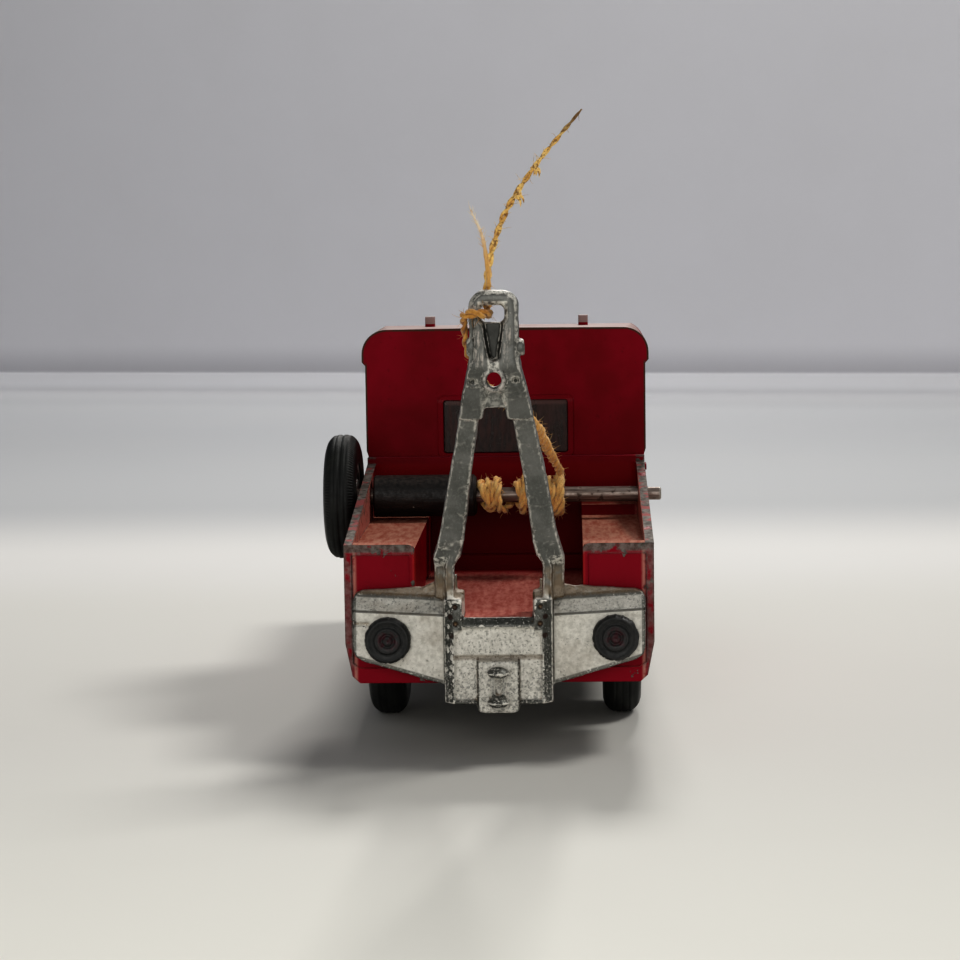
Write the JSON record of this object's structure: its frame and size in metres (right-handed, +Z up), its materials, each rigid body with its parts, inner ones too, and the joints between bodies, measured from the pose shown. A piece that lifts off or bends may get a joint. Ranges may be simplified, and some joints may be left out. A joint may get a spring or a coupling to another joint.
{
  "type": "toy tow truck",
  "caption": "Die-cast toy pickup with a fixed two-legged jib at the tail and a cord winch across its bed that the side-mounted spare wheel turns.",
  "frame": {"origin": "on the ground, on the truck's centre plane, under the rear face of the body casting", "axes": "+X to the right seen from behind, +Y forward towards the bonnet, +Z up"},
  "size_m": [0.0434, 0.1146, 0.0756],
  "materials": {
    "red_paint": "gloss crimson enamel, worn to bare metal on edges, faded on upward faces",
    "worn_silver": "silver paint worn through to dark zinc",
    "tin_plate": "dull pressed sheet",
    "bright_steel": "dull bright steel",
    "dull_steel": "tarnished drawn wire",
    "dark_plastic": "satin black",
    "cord_yarn": "golden twisted yarn, frayed",
    "turned_alloy": "turned, tarnished",
    "tyre_rubber": "satin black rubber",
    "lamp_red": "grimy dark red lens",
    "lamp_clear": "faceted clear lens",
    "smoked_window": "grimy smoked moulding",
    "seat_plastic": "matt aged plastic",
    "grille_silver": "silver paint"
  },
  "bodies": {
    "truck": {"body_casting": "red_paint", "jib_casting": "worn_silver", "base_plate": "tin_plate", "base_rivets": "bright_steel", "jib_rivet": "bright_steel", "rear_axle": "bright_steel", "front_axle": "bright_steel", "tail_lamp_left": "lamp_red", "tail_lamp_right": "lamp_red", "headlamp_left": "lamp_clear", "headlamp_right": "lamp_clear", "window_moulding": "smoked_window", "seat_moulding": "seat_plastic", "steering_wheel": "dark_plastic", "grille_insert": "grille_silver", "cord_run": "cord_yarn"},
    "winch": {"winch_rod": "dull_steel", "winch_sleeve": "dark_plastic", "cord_winding": "cord_yarn", "spare_hub": "turned_alloy", "spare_tyre": "tyre_rubber"},
    "rear_left_wheel": {"rear_left_hub": "turned_alloy", "rear_left_tyre": "tyre_rubber"},
    "rear_right_wheel": {"rear_right_hub": "turned_alloy", "rear_right_tyre": "tyre_rubber"},
    "front_left_wheel": {"front_left_hub": "turned_alloy", "front_left_tyre": "tyre_rubber"},
    "front_right_wheel": {"front_right_hub": "turned_alloy", "front_right_tyre": "tyre_rubber"}
  },
  "joints": [
    {"name": "winch_turn", "type": "hinge", "parent": "truck", "child": "winch", "pos_m": [0, 0.0281, 0.0276], "axis": [1, 0, 0], "continuous": true},
    {"name": "rear_left_spin", "type": "hinge", "parent": "truck", "child": "rear_left_wheel", "pos_m": [-0.0149, 0.0237, 0.00805], "axis": [1, 0, 0], "continuous": true},
    {"name": "rear_right_spin", "type": "hinge", "parent": "truck", "child": "rear_right_wheel", "pos_m": [0.0149, 0.0237, 0.00805], "axis": [1, 0, 0], "continuous": true},
    {"name": "front_left_spin", "type": "hinge", "parent": "truck", "child": "front_left_wheel", "pos_m": [-0.0149, 0.0826, 0.00805], "axis": [1, 0, 0], "continuous": true},
    {"name": "front_right_spin", "type": "hinge", "parent": "truck", "child": "front_right_wheel", "pos_m": [0.0149, 0.0826, 0.00805], "axis": [1, 0, 0], "continuous": true}
  ]
}
